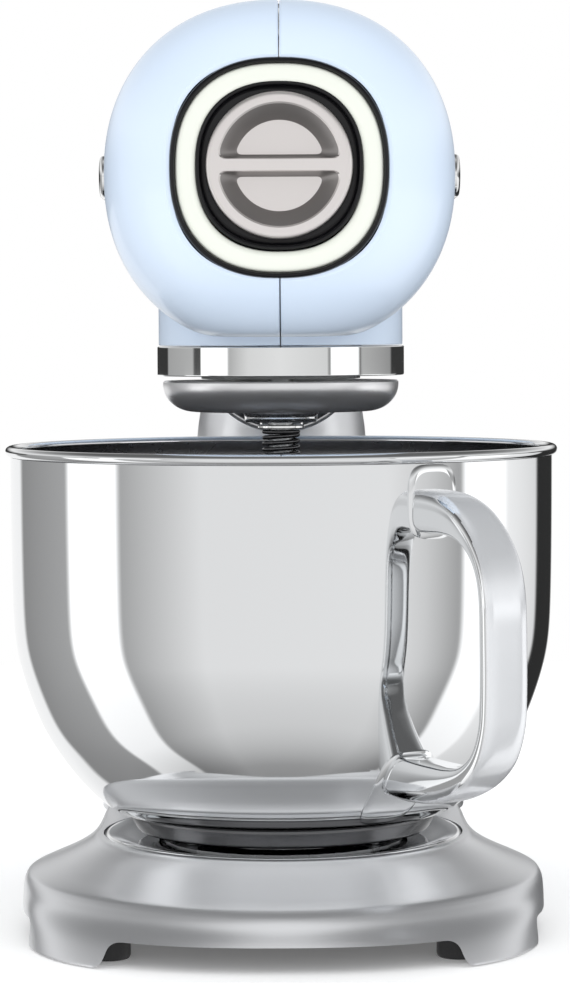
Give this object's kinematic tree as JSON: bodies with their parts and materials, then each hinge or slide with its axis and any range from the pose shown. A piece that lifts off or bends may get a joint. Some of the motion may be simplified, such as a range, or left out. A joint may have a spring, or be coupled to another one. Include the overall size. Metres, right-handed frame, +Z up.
{
  "type": "stand mixer",
  "caption": "Retro tilt-head stand mixer with a rounded painted head, planetary drive, cast base and column, and a polished steel bowl with a strap handle.",
  "frame": {"origin": "on the worktop, under the middle of the bounding box", "axes": "+Z up, -Y towards the nose and the bowl handle, +X to the right seen from the front"},
  "size_m": [0.2312, 0.404, 0.3841],
  "materials": {
    "blue_paint": "pastel gloss paint",
    "silver_paint": "cast, with satin silver paint",
    "dark_silver": "cast, with satin dark silver paint",
    "satin_nickel": "satin nickel",
    "chrome": "polished",
    "polished_steel": "mirror polished",
    "steel": "machined",
    "aluminium": "as cast",
    "black_plastic": "moulded",
    "rubber": "moulded",
    "copper": "wound copper and laminations",
    "brass": "sintered bronze",
    "board": "circuit board"
  },
  "bodies": {
    "base": {"base_casting": "silver_paint", "base_bottom_plate": "black_plastic", "bowl_seat_dish": "polished_steel", "seat_screw_1": "steel", "seat_screw_2": "steel", "seat_screw_3": "steel", "foot_front_left": "rubber", "foot_front_right": "rubber", "foot_rear_left": "rubber", "foot_rear_right": "rubber", "column_casting": "silver_paint", "column_rear_cover": "silver_paint", "cord_inlet_gland": "rubber", "hinge_post": "steel", "hinge_pin": "steel"},
    "release": {"release_button": "chrome", "latch_slider": "steel", "latch_spring": "steel"},
    "head": {"head_shell_left": "blue_paint", "head_shell_right": "blue_paint", "head_frame": "aluminium", "hinge_knuckle": "silver_paint", "hinge_bush_left": "brass", "hinge_bush_right": "brass", "neck_band": "chrome", "ring_gear": "steel", "lower_bearing": "steel", "upper_bearing": "steel", "motor_stator": "copper", "motor_rear_bracket": "aluminium", "front_trim_ring": "chrome", "front_bezel": "black_plastic", "accessory_hub_housing": "black_plastic", "speed_scale_strip": "chrome", "side_badge_left": "chrome", "side_badge_right": "chrome", "control_board": "board"},
    "lever": {"speed_lever": "chrome"},
    "cover": {"hub_cover": "satin_nickel"},
    "carrier": {"centre_shaft": "steel", "crown_wheel": "steel", "planet_carrier": "aluminium", "planetary_cover": "dark_silver", "planet_bearing": "steel"},
    "planet": {"planet_pinion": "steel", "tool_shaft": "steel", "tool_cross_pin": "steel", "shaft_washer": "polished_steel", "shaft_spring": "steel"},
    "rotor": {"rotor_core": "steel", "motor_shaft": "steel", "motor_pinion": "steel", "cooling_fan": "black_plastic"},
    "accessory": {"accessory_shaft": "steel", "accessory_bevel_gear": "steel"},
    "bowl_lock": {"seat_washer": "steel"},
    "bowl": {"bowl_shell": "polished_steel", "bowl_foot": "polished_steel", "bowl_handle": "polished_steel"}
  },
  "joints": [
    {"name": "head_tilt", "type": "hinge", "parent": "base", "child": "head", "pos_m": [0, 0.10297, 0.24], "axis": [-1, 0, 0], "range_deg": [0, 27]},
    {"name": "release_press", "type": "slide", "parent": "base", "child": "release", "axis": [0, -1, 0], "range_m": [0, 0.004], "stiffness_N_per_m": 400, "springref_m": -0.002},
    {"name": "speed_slide", "type": "slide", "parent": "head", "child": "lever", "axis": [0, 1, 0], "range_m": [0, 0.05]},
    {"name": "hub_cover_pull", "type": "slide", "parent": "head", "child": "cover", "axis": [0, -1, 0], "range_m": [0, 0.06]},
    {"name": "carrier_spin", "type": "hinge", "parent": "head", "child": "carrier", "pos_m": [0, -0.05702, 0.25], "axis": [0, 0, 1], "continuous": true},
    {"name": "tool_spin", "type": "hinge", "parent": "carrier", "child": "planet", "pos_m": [0, -0.08102, 0.25], "axis": [0, 0, 1], "continuous": true},
    {"name": "motor_spin", "type": "hinge", "parent": "head", "child": "rotor", "pos_m": [0, -0.05702, 0.31], "axis": [0, 1, 0], "continuous": true},
    {"name": "accessory_spin", "type": "hinge", "parent": "head", "child": "accessory", "pos_m": [0, -0.05702, 0.31], "axis": [0, -1, 0], "continuous": true},
    {"name": "bowl_twist", "type": "hinge", "parent": "base", "child": "bowl_lock", "pos_m": [0, -0.05702, 0.04], "axis": [0, 0, 1], "range_deg": [0, 30]},
    {"name": "bowl_lift", "type": "slide", "parent": "bowl_lock", "child": "bowl", "axis": [0, 0, 1], "range_m": [0, 0.035]}
  ],
  "couplings": [
    {"joint": "tool_spin", "follows": "carrier_spin", "ratio": -3},
    {"joint": "motor_spin", "follows": "carrier_spin", "ratio": 3},
    {"joint": "accessory_spin", "follows": "carrier_spin", "ratio": 3}
  ]
}
